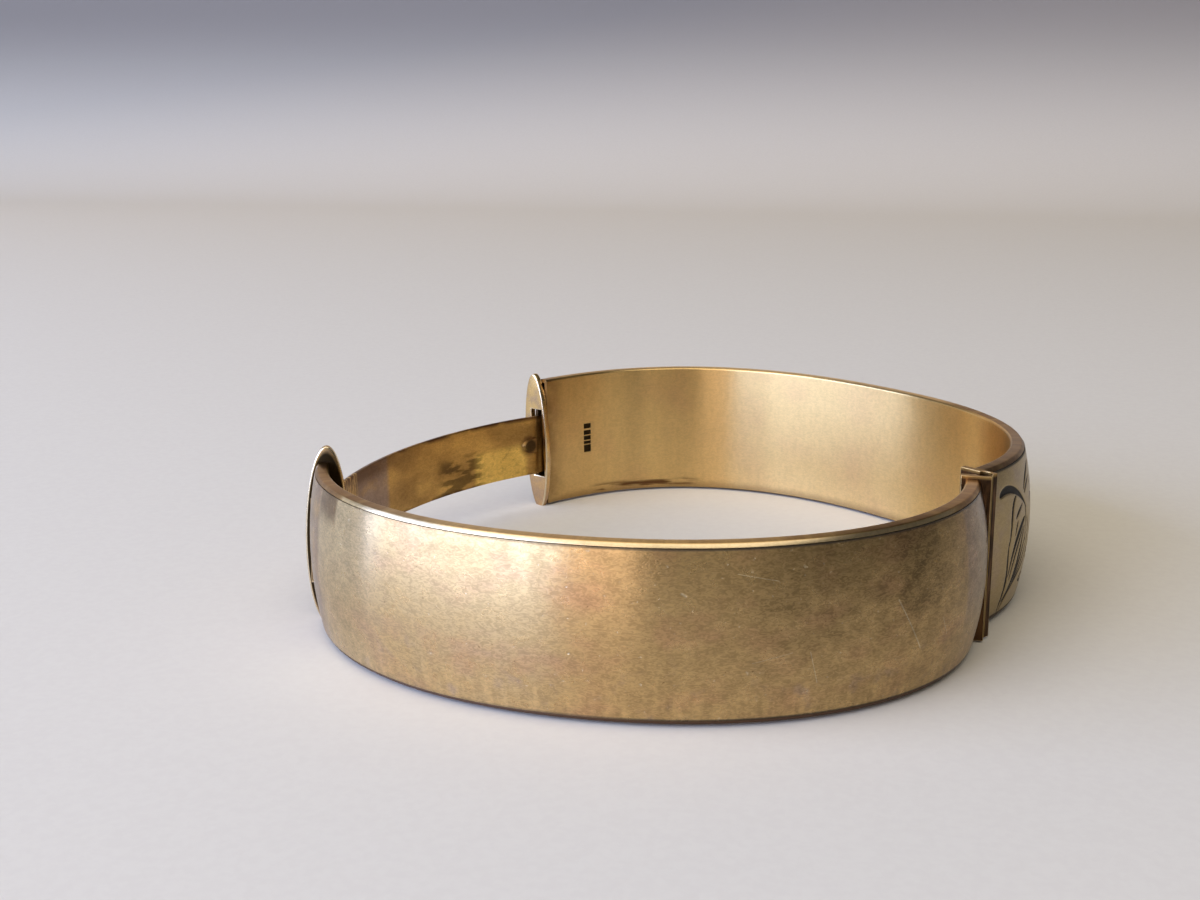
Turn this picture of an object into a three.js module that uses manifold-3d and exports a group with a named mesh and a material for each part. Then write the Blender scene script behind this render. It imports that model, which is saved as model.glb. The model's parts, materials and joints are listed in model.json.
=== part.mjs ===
// A hinged expanding bangle, lying open on its side.
//
// Two hollow half bands of D section, one plain and one engraved, are joined by a small three-knuckle
// hinge. At the other side each half ends in an upright oval plate with a slot, and a springy metal
// tongue runs through both slots, so the bangle can be pulled open and pushed shut over a hand.
//
// Millimetres, +Z up. The two halves are first drawn shut, around an oval hollow centred on the Z axis
// with its long way along X: the hinge is at +X, the oval plates at -X, the plain half at -Y and the
// engraved half at +Y. The engraved half is then turned open about the hinge pin.

import * as THREE from "three";
import { mergeVertices } from "three/addons/utils/BufferGeometryUtils.js";
import Module from "manifold-3d";

const wasm = await Module();
wasm.setup();

const degrees = THREE.MathUtils.degToRad;

// ---- driving dimensions -------------------------------------------------------------------------

// The oval hollow that the wrist goes through: a slightly squared ellipse, that each half follows in
// its own way, as bands bent by hand do
const PLAIN_OVAL = { halfLength: 30.0, halfWidth: 24.1, squareness: 2.08, centreX: 0 };
const ENGRAVED_OVAL = { halfLength: 29.47, halfWidth: 24.3, squareness: 2.29, centreX: -0.37 };

// The band's D section: a flat lining inside, flat strips at the edges, a bevel and a low dome outside
const BAND_HEIGHT = 15.4;
const CROWN_THICKNESS = 2.35;
const EDGE_STRIP = 1.13;
const BEVEL_OUT = 0.31;
const BEVEL_DROP = 0.41;
const WALL = 0.4;
const DOME_SEGMENTS = 8;
const BAND_STEPS = 48;

// Where the half bands end at the slide side, shut, measured along Y
const PLAIN_SLIDE_END_Y = -6.85;
const ENGRAVED_SLIDE_END_Y = -2.3;

// The upright oval plates at the slide side. Each stands up past the band's edges, is set a little in
// or out from the middle of the band's thickness, and leans in or out.
const SLIDE_PLATE = { thickness: 0.72, sides: 24 };
const PLAIN_SLIDE_PLATE = { width: 4.1, above: 1.55, below: 0.7, outward: -0.6, lean: degrees(-2.4) };
const ENGRAVED_SLIDE_PLATE = { width: 3.9, above: 0.62, below: 0.7, outward: 0.2, lean: degrees(2.9) };

// The slot in each of those plates: `out` is how far its middle is from the lining's inner face
const SLOT = { width: 1.9, height: 8.2, bottom: 3.5, out: 1.0 };

// The hinge: an end plate on each half, knuckles round a pin near the plates' outer edge
const HINGE_PLATE = { inside: 0.4, outerX: 32.35, thickness: 0.7, above: 0.3, below: 0.05 };
const HINGE_GAP = 0.75;
const PIN_INSET = 0.75;
const PIN_Y = 1.22;
const PIN_RADIUS = 0.26;
const BORE_RADIUS = 0.34;
const KNUCKLE_RADIUS = 0.6;
const KNUCKLE_CLEARANCE = 0.2;
const KNUCKLE_GAP = 0.3;
const KNUCKLE_END_INSET = 0.6;
const PIN_STAND_OUT = 0.2;
const ROUND_SIDES = 20;

// How far the engraved half stands open
const OPEN_ANGLE = degrees(37.15);

// The tongue: a flat spring strip, low in its slots, that leaves the plain half nearly in line with it
const TONGUE = { height: 7.15, thickness: 0.5, bottom: 3.85, steps: 44 };
const TONGUE_TURN_AT_PLATE = degrees(3.0);
const TONGUE_IN_PLAIN_HALF = 7.0;
const TONGUE_IN_ENGRAVED_HALF = 5.0;
const TONGUE_ARC_POINTS = 8;

// The stop raised on the tongue: a half oval with its straight side towards the engraved half's plate
const STOP = { length: 1.5, width: 1.5, height: 0.35, middle: 7.5, fromPlate: 0.65 };

// Soldered pieces are sunk this far into one another, and a cutter runs this far past what it cuts,
// or this far behind a leaning plate
const SOLDER_LAP = 0.05;
const CUT_PAST = 0.5;
const SLOT_CUT_BEHIND = 0.25;

// ---- values worked out from them ----------------------------------------------------------------

const PIN = new THREE.Vector3(HINGE_PLATE.outerX - PIN_INSET, PIN_Y, 0);
const BAND_END_FROM_PIN = HINGE_GAP / 2 + HINGE_PLATE.thickness;
const UP = new THREE.Vector3(0, 0, 1);

// ---- solids -------------------------------------------------------------------------------------

// A closed three.js geometry as a solid that can be joined and cut
function toSolid(geometry, matrix = new THREE.Matrix4()) {
  const bare = geometry.clone().applyMatrix4(matrix);
  bare.deleteAttribute("normal");
  bare.deleteAttribute("uv");
  const merged = mergeVertices(bare, 1e-5);
  const mesh = new wasm.Mesh({
    numProp: 3,
    vertProperties: new Float32Array(merged.attributes.position.array),
    triVerts: new Uint32Array(merged.index.array),
  });
  return new wasm.Manifold(mesh);
}

// A finished solid as a named mesh with its own finish
function toMesh(name, solid, finish) {
  const result = solid.getMesh();
  const geometry = new THREE.BufferGeometry();
  geometry.setAttribute("position", new THREE.BufferAttribute(result.vertProperties, 3));
  geometry.setIndex(new THREE.BufferAttribute(result.triVerts, 1));
  geometry.computeVertexNormals();
  const mesh = new THREE.Mesh(geometry, new THREE.MeshStandardMaterial(finish));
  mesh.name = name;
  return mesh;
}

// ---- the oval line that both halves follow ------------------------------------------------------

// A stretch of the hollow's outline, run clockwise as seen from above, so its left side is outside
class OvalLine extends THREE.Curve {
  constructor(oval, fromAngle, toAngle) {
    super();
    this.oval = oval;
    this.fromAngle = fromAngle;
    this.toAngle = toAngle;
  }

  getPoint(t, target = new THREE.Vector3()) {
    const angle = THREE.MathUtils.lerp(this.fromAngle, this.toAngle, t);
    const { halfLength, halfWidth, squareness, centreX } = this.oval;
    const squared = (value) => Math.sign(value) * Math.abs(value) ** (2 / squareness);
    const x = centreX + halfLength * squared(Math.cos(angle));
    const y = halfWidth * squared(Math.sin(angle));
    return target.set(x, y, BAND_HEIGHT / 2);
  }
}

// The curve's own angle where an oval is at height y on the +X side
function angleAt({ halfWidth, squareness }, y) {
  return Math.sign(y) * Math.asin((Math.abs(y) / halfWidth) ** (squareness / 2));
}

// A curve's place and directions at u: x along the curve, y to its left, which is outwards, z up
function frameOn(curve, u) {
  const along = curve.getTangentAt(u).setZ(0).normalize();
  const outward = new THREE.Vector3().crossVectors(UP, along);
  const frame = new THREE.Matrix4().makeBasis(along, outward, UP);
  const point = curve.getPointAt(u);
  return frame.setPosition(point.x, point.y, 0);
}

// ---- sections, drawn with x downwards and y outwards, as the sweep along an oval line takes them --

// The D outline, moved in by `inset` on every side
function bandSection(inset) {
  const half = BAND_HEIGHT / 2 - inset;
  const shoulder = half - BEVEL_DROP;
  const edge = EDGE_STRIP - inset;
  const bevelTop = EDGE_STRIP + BEVEL_OUT - inset;
  const rise = CROWN_THICKNESS - EDGE_STRIP - BEVEL_OUT;
  const radius = (shoulder ** 2 + rise ** 2) / (2 * rise);
  const spread = Math.asin(shoulder / radius);
  const centre = bevelTop + rise - radius;
  const shape = new THREE.Shape();
  shape.moveTo(half, inset);
  shape.lineTo(half, edge);
  for (let i = 0; i <= DOME_SEGMENTS; i += 1) {
    const angle = THREE.MathUtils.lerp(spread, -spread, i / DOME_SEGMENTS);
    shape.lineTo(radius * Math.sin(angle), centre + radius * Math.cos(angle));
  }
  shape.lineTo(-half, edge);
  shape.lineTo(-half, inset);
  shape.closePath();
  return shape;
}

function sweep(shape, path, steps) {
  return toSolid(new THREE.ExtrudeGeometry(shape, { extrudePath: path, steps }));
}

// ---- the pieces of a half band ------------------------------------------------------------------

// An upright slotted oval plate, from x = from to x = to in the frame of the band's end
function slidePlate(frame, { width, above, below, outward, lean }, from, to) {
  const { sides } = SLIDE_PLATE;
  const height = below + BAND_HEIGHT + above;
  const step = (2 * Math.PI) / sides;
  const toCorner = 1 / Math.cos(step / 2);
  const corners = Array.from({ length: sides }, (_, i) => {
    const angle = (i + 0.5) * step;
    return new THREE.Vector2(
      (width / 2) * toCorner * Math.cos(angle),
      (height / 2) * toCorner * Math.sin(angle),
    );
  });
  const depth = to - from;
  const plate = new THREE.ExtrudeGeometry(new THREE.Shape(corners), { depth, bevelEnabled: false });
  // the outline's x goes outwards, its y up, and its thickness along the band
  const outwards = new THREE.Vector3(0, 1, 0);
  const along = new THREE.Vector3(1, 0, 0);
  const stand = new THREE.Matrix4().makeBasis(outwards, UP, along);
  stand.premultiply(new THREE.Matrix4().makeRotationX(-lean));
  const centreZ = height / 2 - below;
  const upright = new THREE.Matrix4().makeTranslation(from, CROWN_THICKNESS / 2 + outward, centreZ);
  return toSolid(plate, frame.clone().multiply(upright).multiply(stand));
}

// A block between two corners given in a frame
function block(frame, low, high) {
  const size = new THREE.Vector3().subVectors(high, low);
  const middle = new THREE.Vector3().addVectors(low, high).multiplyScalar(0.5);
  const place = new THREE.Matrix4().makeTranslation(middle);
  return toSolid(new THREE.BoxGeometry(size.x, size.y, size.z), frame.clone().multiply(place));
}

function slotCutter(frame, from, to) {
  const low = new THREE.Vector3(from, SLOT.out - SLOT.width / 2, SLOT.bottom);
  const high = new THREE.Vector3(to, SLOT.out + SLOT.width / 2, SLOT.bottom + SLOT.height);
  return block(frame, low, high);
}

// The flat end plate at the hinge, on the side of the pin that `side` gives: -1 plain, +1 engraved
function hingePlate(oval, side) {
  const near = PIN.y + (side * HINGE_GAP) / 2;
  const far = near + side * (HINGE_PLATE.thickness + SOLDER_LAP);
  const bottom = -HINGE_PLATE.below;
  const top = BAND_HEIGHT + HINGE_PLATE.above;
  const innerX = oval.centreX + oval.halfLength - HINGE_PLATE.inside;
  const low = new THREE.Vector3(innerX, Math.min(near, far), bottom);
  const high = new THREE.Vector3(HINGE_PLATE.outerX, Math.max(near, far), top);
  return block(new THREE.Matrix4(), low, high);
}

// An upright cylinder on the pin's axis
function onPin(radius, bottom, top) {
  const round = new THREE.CylinderGeometry(radius, radius, top - bottom, ROUND_SIDES);
  const place = new THREE.Matrix4().makeRotationX(Math.PI / 2);
  place.setPosition(PIN.x, PIN.y, (bottom + top) / 2);
  return toSolid(round, place);
}

const HINGE_BOTTOM = KNUCKLE_END_INSET;
const HINGE_TOP = BAND_HEIGHT - KNUCKLE_END_INSET;
const KNUCKLE_HEIGHT = (HINGE_TOP - HINGE_BOTTOM - 2 * KNUCKLE_GAP) / 3;
const KNUCKLES = [0, 1, 2].map((i) => {
  const bottom = HINGE_BOTTOM + i * (KNUCKLE_HEIGHT + KNUCKLE_GAP);
  return { bottom, top: bottom + KNUCKLE_HEIGHT };
});

// Adds a half's own knuckles, leaves room for the other half's, and bores them for the pin
function withKnuckles(solid, own, others) {
  const reach = KNUCKLE_RADIUS + KNUCKLE_CLEARANCE;
  let result = solid;
  for (const { bottom, top } of others) {
    result = result.subtract(onPin(reach, bottom - KNUCKLE_GAP, top + KNUCKLE_GAP));
  }
  for (const { bottom, top } of own) {
    result = result.add(onPin(KNUCKLE_RADIUS, bottom, top));
  }
  return result.subtract(onPin(BORE_RADIUS, HINGE_BOTTOM - CUT_PAST, HINGE_TOP + CUT_PAST));
}

// A half band along a line, hollow, with its two end plates and its slot.
// `slideAt` is where on its line the slide end is: 0 at the start or 1 at the end.
function halfBand(line, slideAt, plate, hingeSide) {
  const { oval, fromAngle, toAngle } = line;
  const length = line.getLength();
  const closedPart = (CUT_PAST / length) * (toAngle - fromAngle);
  const hollowLine = slideAt === 1
    ? new OvalLine(oval, fromAngle + closedPart, toAngle)
    : new OvalLine(oval, fromAngle, toAngle - closedPart);
  const frame = frameOn(line, slideAt);
  const out = slideAt === 1 ? 1 : -1;
  const [from, to] = [-out * SOLDER_LAP, out * SLIDE_PLATE.thickness].sort((a, b) => a - b);
  const [cutFrom, cutTo] = [-out * SLOT_CUT_BEHIND, out * (SLIDE_PLATE.thickness + CUT_PAST)]
    .sort((a, b) => a - b);
  return sweep(bandSection(0), line, BAND_STEPS)
    .add(slidePlate(frame, plate, from, to))
    .add(hingePlate(oval, hingeSide))
    .subtract(sweep(bandSection(WALL), hollowLine, BAND_STEPS))
    .subtract(slotCutter(frame, cutFrom, cutTo));
}

// ---- the two halves -----------------------------------------------------------------------------

const plainSlideAngle = -Math.PI - angleAt(PLAIN_OVAL, PLAIN_SLIDE_END_Y);
const plainHingeAngle = angleAt(PLAIN_OVAL, PIN.y - BAND_END_FROM_PIN);
const plainLine = new OvalLine(PLAIN_OVAL, plainHingeAngle, plainSlideAngle);
const plainHalf = withKnuckles(
  halfBand(plainLine, 1, PLAIN_SLIDE_PLATE, -1),
  [KNUCKLES[0], KNUCKLES[2]],
  [KNUCKLES[1]],
);

const engravedSlideAngle = Math.PI - angleAt(ENGRAVED_OVAL, ENGRAVED_SLIDE_END_Y);
const engravedHingeAngle = angleAt(ENGRAVED_OVAL, PIN.y + BAND_END_FROM_PIN);
const engravedLine = new OvalLine(ENGRAVED_OVAL, engravedSlideAngle, engravedHingeAngle);
const engravedHalf = withKnuckles(
  halfBand(engravedLine, 0, ENGRAVED_SLIDE_PLATE, 1),
  [KNUCKLES[1]],
  [KNUCKLES[0], KNUCKLES[2]],
);

// ---- the tongue ---------------------------------------------------------------------------------

const opening = new THREE.Matrix4()
  .makeTranslation(PIN)
  .multiply(new THREE.Matrix4().makeRotationZ(-OPEN_ANGLE))
  .multiply(new THREE.Matrix4().makeTranslation(PIN.clone().negate()));

// A point in a half band's hollow, in line with its slot and `inside` millimetres in from its end
function inHollow(line, slideAt, inside) {
  const u = slideAt === 1 ? 1 - inside / line.getLength() : inside / line.getLength();
  return new THREE.Vector3(0, SLOT.out, 0).applyMatrix4(frameOn(line, u));
}

// The middle of a slide plate's slot
function inSlot(line, slideAt) {
  const out = slideAt === 1 ? 1 : -1;
  const middle = new THREE.Vector3((out * SLIDE_PLATE.thickness) / 2, SLOT.out, 0);
  return middle.applyMatrix4(frameOn(line, slideAt));
}

// The free stretch: a round arc from one slot to the other that starts in a given direction
function arcBetween(start, end, direction, count) {
  const chord = new THREE.Vector3().subVectors(end, start);
  const turn = 2 * direction.angleTo(chord);
  const radius = chord.length() / (2 * Math.sin(turn / 2));
  const centre = new THREE.Vector3().crossVectors(direction, UP).multiplyScalar(radius).add(start);
  return Array.from({ length: count }, (_, i) => {
    const angle = (-turn * i) / (count - 1);
    return start.clone().sub(centre).applyAxisAngle(UP, angle).add(centre);
  });
}

const plateDirection = plainLine.getTangentAt(1).setZ(0).normalize();
const tongueDirection = plateDirection.clone().applyAxisAngle(UP, -TONGUE_TURN_AT_PLATE);
const plainSlot = inSlot(plainLine, 1);
const engravedSlot = inSlot(engravedLine, 0).applyMatrix4(opening);
const tonguePath = new THREE.CatmullRomCurve3(
  [
    ...[1, 0.5].map((share) => inHollow(plainLine, 1, share * TONGUE_IN_PLAIN_HALF)),
    ...arcBetween(plainSlot, engravedSlot, tongueDirection, TONGUE_ARC_POINTS),
    ...[0.5, 1].map((share) =>
      inHollow(engravedLine, 0, share * TONGUE_IN_ENGRAVED_HALF).applyMatrix4(opening)),
  ].map((point) => point.setZ(TONGUE.bottom + TONGUE.height / 2)),
  false,
  "centripetal",
);

const tongueSection = new THREE.Shape([
  new THREE.Vector2(-TONGUE.height / 2, -TONGUE.thickness / 2),
  new THREE.Vector2(TONGUE.height / 2, -TONGUE.thickness / 2),
  new THREE.Vector2(TONGUE.height / 2, TONGUE.thickness / 2),
  new THREE.Vector2(-TONGUE.height / 2, TONGUE.thickness / 2),
]);

function tongueStop() {
  const outline = new THREE.Shape();
  outline.absellipse(0, 0, STOP.length, STOP.width / 2, Math.PI / 2, (3 * Math.PI) / 2);
  outline.closePath();
  const raised = { depth: STOP.height + SOLDER_LAP, bevelEnabled: false, curveSegments: 8 };
  const fromEnd = TONGUE_IN_ENGRAVED_HALF + SLIDE_PLATE.thickness + STOP.fromPlate;
  const frame = frameOn(tonguePath, 1 - fromEnd / tonguePath.getLength());
  // the outline's x goes along the tongue, its y up, and its thickness inwards
  const stand = new THREE.Matrix4().makeBasis(
    new THREE.Vector3(1, 0, 0),
    UP,
    new THREE.Vector3(0, -1, 0),
  );
  stand.setPosition(0, SOLDER_LAP - TONGUE.thickness / 2, STOP.middle);
  return toSolid(new THREE.ExtrudeGeometry(outline, raised), frame.multiply(stand));
}

const tongue = sweep(tongueSection, tonguePath, TONGUE.steps).add(tongueStop());

const hingePin = onPin(PIN_RADIUS, HINGE_BOTTOM - PIN_STAND_OUT, HINGE_TOP + PIN_STAND_OUT);

// ---- assembly -----------------------------------------------------------------------------------

const ROLLED_GOLD = { color: "#c9a97a", roughness: 0.38, metalness: 1 };
const ENGRAVED_GOLD = { color: "#b8a27a", roughness: 0.34, metalness: 1 };
const SPRING_BRASS = { color: "#9a7430", roughness: 0.36, metalness: 1 };
const DULL_BRASS = { color: "#6e5836", roughness: 0.5, metalness: 1 };

const assembly = new THREE.Group();
assembly.add(toMesh("plain_half", plainHalf, ROLLED_GOLD));
assembly.add(toMesh("tongue", tongue, SPRING_BRASS));
assembly.add(toMesh("hinge_pin", hingePin, DULL_BRASS));

// the engraved half turns about the pin, so it hangs from a pivot there
const pivot = new THREE.Group();
pivot.position.copy(PIN);
pivot.rotation.z = -OPEN_ANGLE;
const engravedMesh = toMesh("engraved_half", engravedHalf, ENGRAVED_GOLD);
engravedMesh.position.copy(PIN).negate();
pivot.add(engravedMesh);
assembly.add(pivot);

// the origin is on the surface that the bangle lies on, under the middle of its footprint
assembly.updateMatrixWorld(true);
const footprint = new THREE.Box3().setFromObject(assembly, true);
const middle = footprint.getCenter(new THREE.Vector3());
assembly.position.set(-middle.x, -middle.y, -footprint.min.z);

const bangle = new THREE.Group();
bangle.add(assembly);

export default bangle;
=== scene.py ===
"""A hinged expanding bangle of rolled gold, lying open on its side.

Each half band is a flat lining with turned-out edges and a domed sheet over it. The plain half's dome
is worn and scratched, and the other half's is engraved with leaf scrolls, blackened in the cuts.
Upright slotted plates end the halves, and a tarnished spring tongue runs between them.
"""

import json
import math
from collections import namedtuple

import bmesh
import bpy
import numpy as np
from bpy.props import FloatProperty, FloatVectorProperty, PointerProperty
from mathutils import Matrix, Vector

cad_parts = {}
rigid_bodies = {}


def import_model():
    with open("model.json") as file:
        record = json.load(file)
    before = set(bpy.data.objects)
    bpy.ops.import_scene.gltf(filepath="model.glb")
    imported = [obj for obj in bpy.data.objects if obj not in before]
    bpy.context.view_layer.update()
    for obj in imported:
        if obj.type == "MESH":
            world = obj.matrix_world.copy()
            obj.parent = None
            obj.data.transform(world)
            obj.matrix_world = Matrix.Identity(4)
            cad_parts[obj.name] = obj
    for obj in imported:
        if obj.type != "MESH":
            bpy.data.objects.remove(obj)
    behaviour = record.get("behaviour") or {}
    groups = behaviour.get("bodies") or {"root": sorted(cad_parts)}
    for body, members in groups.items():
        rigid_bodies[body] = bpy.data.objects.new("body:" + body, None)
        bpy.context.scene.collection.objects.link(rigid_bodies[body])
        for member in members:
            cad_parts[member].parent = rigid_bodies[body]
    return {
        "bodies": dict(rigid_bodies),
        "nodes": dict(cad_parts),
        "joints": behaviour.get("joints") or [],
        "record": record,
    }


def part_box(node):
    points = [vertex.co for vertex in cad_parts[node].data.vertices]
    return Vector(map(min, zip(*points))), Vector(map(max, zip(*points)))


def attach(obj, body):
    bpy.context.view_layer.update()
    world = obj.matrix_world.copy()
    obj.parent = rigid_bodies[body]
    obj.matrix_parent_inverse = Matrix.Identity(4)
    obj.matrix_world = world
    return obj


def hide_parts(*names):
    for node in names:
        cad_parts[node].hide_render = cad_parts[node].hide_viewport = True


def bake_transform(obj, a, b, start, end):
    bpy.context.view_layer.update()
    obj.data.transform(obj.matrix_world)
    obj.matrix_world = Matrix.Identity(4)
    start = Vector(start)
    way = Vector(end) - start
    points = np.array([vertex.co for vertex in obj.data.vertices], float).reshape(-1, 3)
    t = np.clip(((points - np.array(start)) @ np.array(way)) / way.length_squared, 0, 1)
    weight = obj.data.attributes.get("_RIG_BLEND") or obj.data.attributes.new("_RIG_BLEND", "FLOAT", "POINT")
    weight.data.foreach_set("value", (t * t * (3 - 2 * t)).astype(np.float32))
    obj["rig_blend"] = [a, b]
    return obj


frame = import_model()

bl_info = {
    "name": "Hinged Expanding Bangle",
    "version": (1, 0, 0),
    "blender": (4, 5, 0),
    "location": "View3D > Sidebar > Bangle",
    "description": "Builds a rolled gold bangle with an engraved half and a spring tongue",
    "category": "Add Mesh",
}

MM = 0.001
TOUCHING = 0.001 * MM
UV_PER_METRE = 10
UP = Vector((0, 0, 1))

# ---- places taken from the frame ----------------------------------------------------------------

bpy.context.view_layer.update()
HINGE = frame["joints"][0]
PLAIN_BODY, ENGRAVED_BODY = HINGE["parent"], HINGE["child"]
PIN_LOW, PIN_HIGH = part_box("hinge_pin")
PIN_ABOVE_BAND_BOTTOM = 0.4 * MM
BAND_BOTTOM = PIN_LOW.z - PIN_ABOVE_BAND_BOTTOM

# ---- the lines that the halves follow -----------------------------------------------------------

# The wrist hollow's outline is a slightly squared ellipse, drawn shut with the pin to its right; each
# half then has its place on the surface, and the engraved half is turned open about the pin
Oval = namedtuple("Oval", "half_length half_width squareness centre_x")
PLAIN_OVAL = Oval(30.0 * MM, 24.1 * MM, 2.08, 0)
ENGRAVED_OVAL = Oval(29.47 * MM, 24.3 * MM, 2.29, -0.37 * MM)
PIN_ON_DRAWING = Vector((31.6 * MM, 1.22 * MM, 0))
OPEN_ANGLE = math.radians(37.15)
PLAIN_SLIDE_END_Y = -6.85 * MM
ENGRAVED_SLIDE_END_Y = -2.3 * MM
HINGE_GAP = 0.75 * MM
HINGE_PLATE_THICKNESS = 0.7 * MM

PIN = Vector((HINGE["pos_m"][0], HINGE["pos_m"][1], BAND_BOTTOM))
PLAIN_PLACE = Matrix.Translation(PIN - PIN_ON_DRAWING)
ENGRAVED_PLACE = (
    Matrix.Translation(PIN) @ Matrix.Rotation(-OPEN_ANGLE, 4, "Z") @ Matrix.Translation(-PIN_ON_DRAWING)
)

# An oval is measured at this many angles and then divided evenly. The engraved half's stations stand
# closer, so that its cuts and punch marks come out sharp, and the lines that only places are read from
# are finer still
OVAL_SAMPLES = 6001
STATION = 0.5 * MM
PUNCHED_STATION = 0.35 * MM
ENGRAVED_STATION = 0.14 * MM
FINE_STATION = 0.1 * MM
TONGUE_STATION = 0.4 * MM

# The plain half's section starts to get thinner at this share of its length, over this share of it
THINNING_FROM = 0.67
THINNING_OVER = 0.23

# Steps across a dome's outer and inner side
PLAIN_DOME_STEPS = (40, 12)
ENGRAVED_DOME_STEPS = (116, 8)
LIP_ROUNDING = 0.11 * MM
UPPER_RIM_ROUNDING = 0.24 * MM

# ---- the plates, hinge and tongue ---------------------------------------------------------------

SlidePlate = namedtuple("SlidePlate", "width above below outward lean")
PLAIN_SLIDE_PLATE = SlidePlate(4.04 * MM, 1.55 * MM, 0.7 * MM, -0.6 * MM, math.radians(-2.4))
ENGRAVED_SLIDE_PLATE = SlidePlate(3.9 * MM, 0.62 * MM, 0.7 * MM, 0.2 * MM, math.radians(2.9))
SLIDE_PLATE_ROUNDING = 0.16 * MM
PLATE_VALUES = ("worn", "hidden", "from_middle_out", "from_middle_up")
SLOT_WIDTH = 1.9 * MM
SLOT_HEIGHT = 8.2 * MM
SLOT_BOTTOM = 3.5 * MM
SLOT_OUT = 1.0 * MM
HINGE_PLATE_OUTER_X = 32.35 * MM
HINGE_PLATE_INSIDE = 0.4 * MM
HINGE_PLATE_ABOVE = 0.3 * MM
HINGE_PLATE_BELOW = 0.05 * MM
HINGE_PLATE_ROUNDING = 0.07 * MM
KNUCKLE_RADIUS = 0.6 * MM
KNUCKLE_ROOM = 0.8 * MM
KNUCKLE_END_INSET = 0.6 * MM
KNUCKLE_GAP = 0.3 * MM
KNUCKLE_TAB = 0.5 * MM
KNUCKLE_TAB_FROM_PIN = 0.68 * MM
PIN_RADIUS = 0.26 * MM
PIN_ROUNDING = 0.08 * MM
TONGUE_BOTTOM = 3.85 * MM
TONGUE_HEIGHT = 7.15 * MM
TONGUE_ROUNDING = 0.12 * MM
TONGUE_TURN_AT_PLATE = math.radians(3)
TONGUE_IN_PLAIN_HALF = 7.0 * MM
TONGUE_IN_ENGRAVED_HALF = 5.0 * MM
# The bend runs this share of the tongue's free length into each half, so that the tongue slips into the
# halves as they close and doesn't fold outside them
TONGUE_BLEND_SPARE = 0.15
STOP_LENGTH = 2.0 * MM
STOP_HEIGHT = 0.35 * MM
STOP_MIDDLE = 7.5 * MM
STOP_FROM_PLATE = 0.65 * MM
STOP_TAPER = 0.85
STOP_SUNK = 0.02 * MM

# A half is named as its solid in the frame is
Half = namedtuple("Half", "name body slot oval place slide_plate")
PLAIN = Half("plain_half", PLAIN_BODY, "plain_gold", PLAIN_OVAL, PLAIN_PLACE, PLAIN_SLIDE_PLATE)
ENGRAVED = Half(
    "engraved_half", ENGRAVED_BODY, "engraved_gold", ENGRAVED_OVAL, ENGRAVED_PLACE, ENGRAVED_SLIDE_PLATE
)

# Blank punch marks in a column on the engraved half's inner wall, where such a band is stamped: how far
# along from the slide end, and from where to where up the wall, in millimetres
PUNCH_ALONG = (5.6, 6.6)
PUNCH_MARKS = ((8.55, 9.2), (7.75, 8.35), (7.1, 7.65), (6.6, 7.0), (5.55, 6.5))
PUNCH_FLANK = 0.05 * MM
PUNCH_DEPTH = 0.12 * MM

# ---- view and light -----------------------------------------------------------------------------

# Cloth lets the plates' feet sink a little, so the surface is this far above their lowest point
SINK = 0.45 * MM
SURFACE_REACH = 1.2
SURFACE_MIDDLE_Y = -0.78
BACK_RADIUS = 0.25
BACK_ANGLE = math.radians(85)
CAMERA_ON_DRAWING = Vector((29.8 * MM, -135.31 * MM, 51.23 * MM))
CAMERA_HEADING = math.radians(14.03)
CAMERA_PITCH = math.radians(14.07)
CAMERA_ROLL = math.radians(0.386)
CAMERA_LENS = 45.15
WORLD_TINT = "#B9B6B0"
WORLD_STRENGTH = 0.16

# Each soft panel: name, heading and height in degrees, distance, breadth and height in metres, how
# strongly it glows, and its tint
SOFTBOXES = (
    ("window", -141.5, 16, 0.8, 1.02, 0.55, 8.4, "#B6C9FF"),
    ("window_side", -98, 14, 0.8, 0.27, 0.45, 2.3, "#F8E6E8"),
    ("left_wall", 164, 10, 0.9, 0.7, 0.45, 0.9, "#E4E9F8"),
    ("right_wall", 48, 14, 1.1, 0.5, 0.5, 0.12, "#DCE3F2"),
    ("ceiling", -98, 68, 0.85, 1.35, 0.9, 1.75, "#FFF6EA"),
    ("far_wall", 104, 24, 0.6, 0.9, 0.22, 0.7, "#FFE3C0"),
)


def linear(hex_colour):
    """An sRGB hex colour as the linear colour that Blender works in."""
    channels = [int(hex_colour[i : i + 2], 16) / 255 for i in (1, 3, 5)]
    return tuple(c / 12.92 if c <= 0.04045 else ((c + 0.055) / 1.055) ** 2.4 for c in channels)


def size(name, description, millimetres):
    return FloatProperty(
        name=name, description=description, default=millimetres * MM, min=0,
        unit="LENGTH", subtype="DISTANCE",
    )


def colour(name, description, hex_colour):
    return FloatVectorProperty(
        name=name, description=description, default=linear(hex_colour), min=0, max=1,
        size=3, subtype="COLOR",
    )


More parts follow.
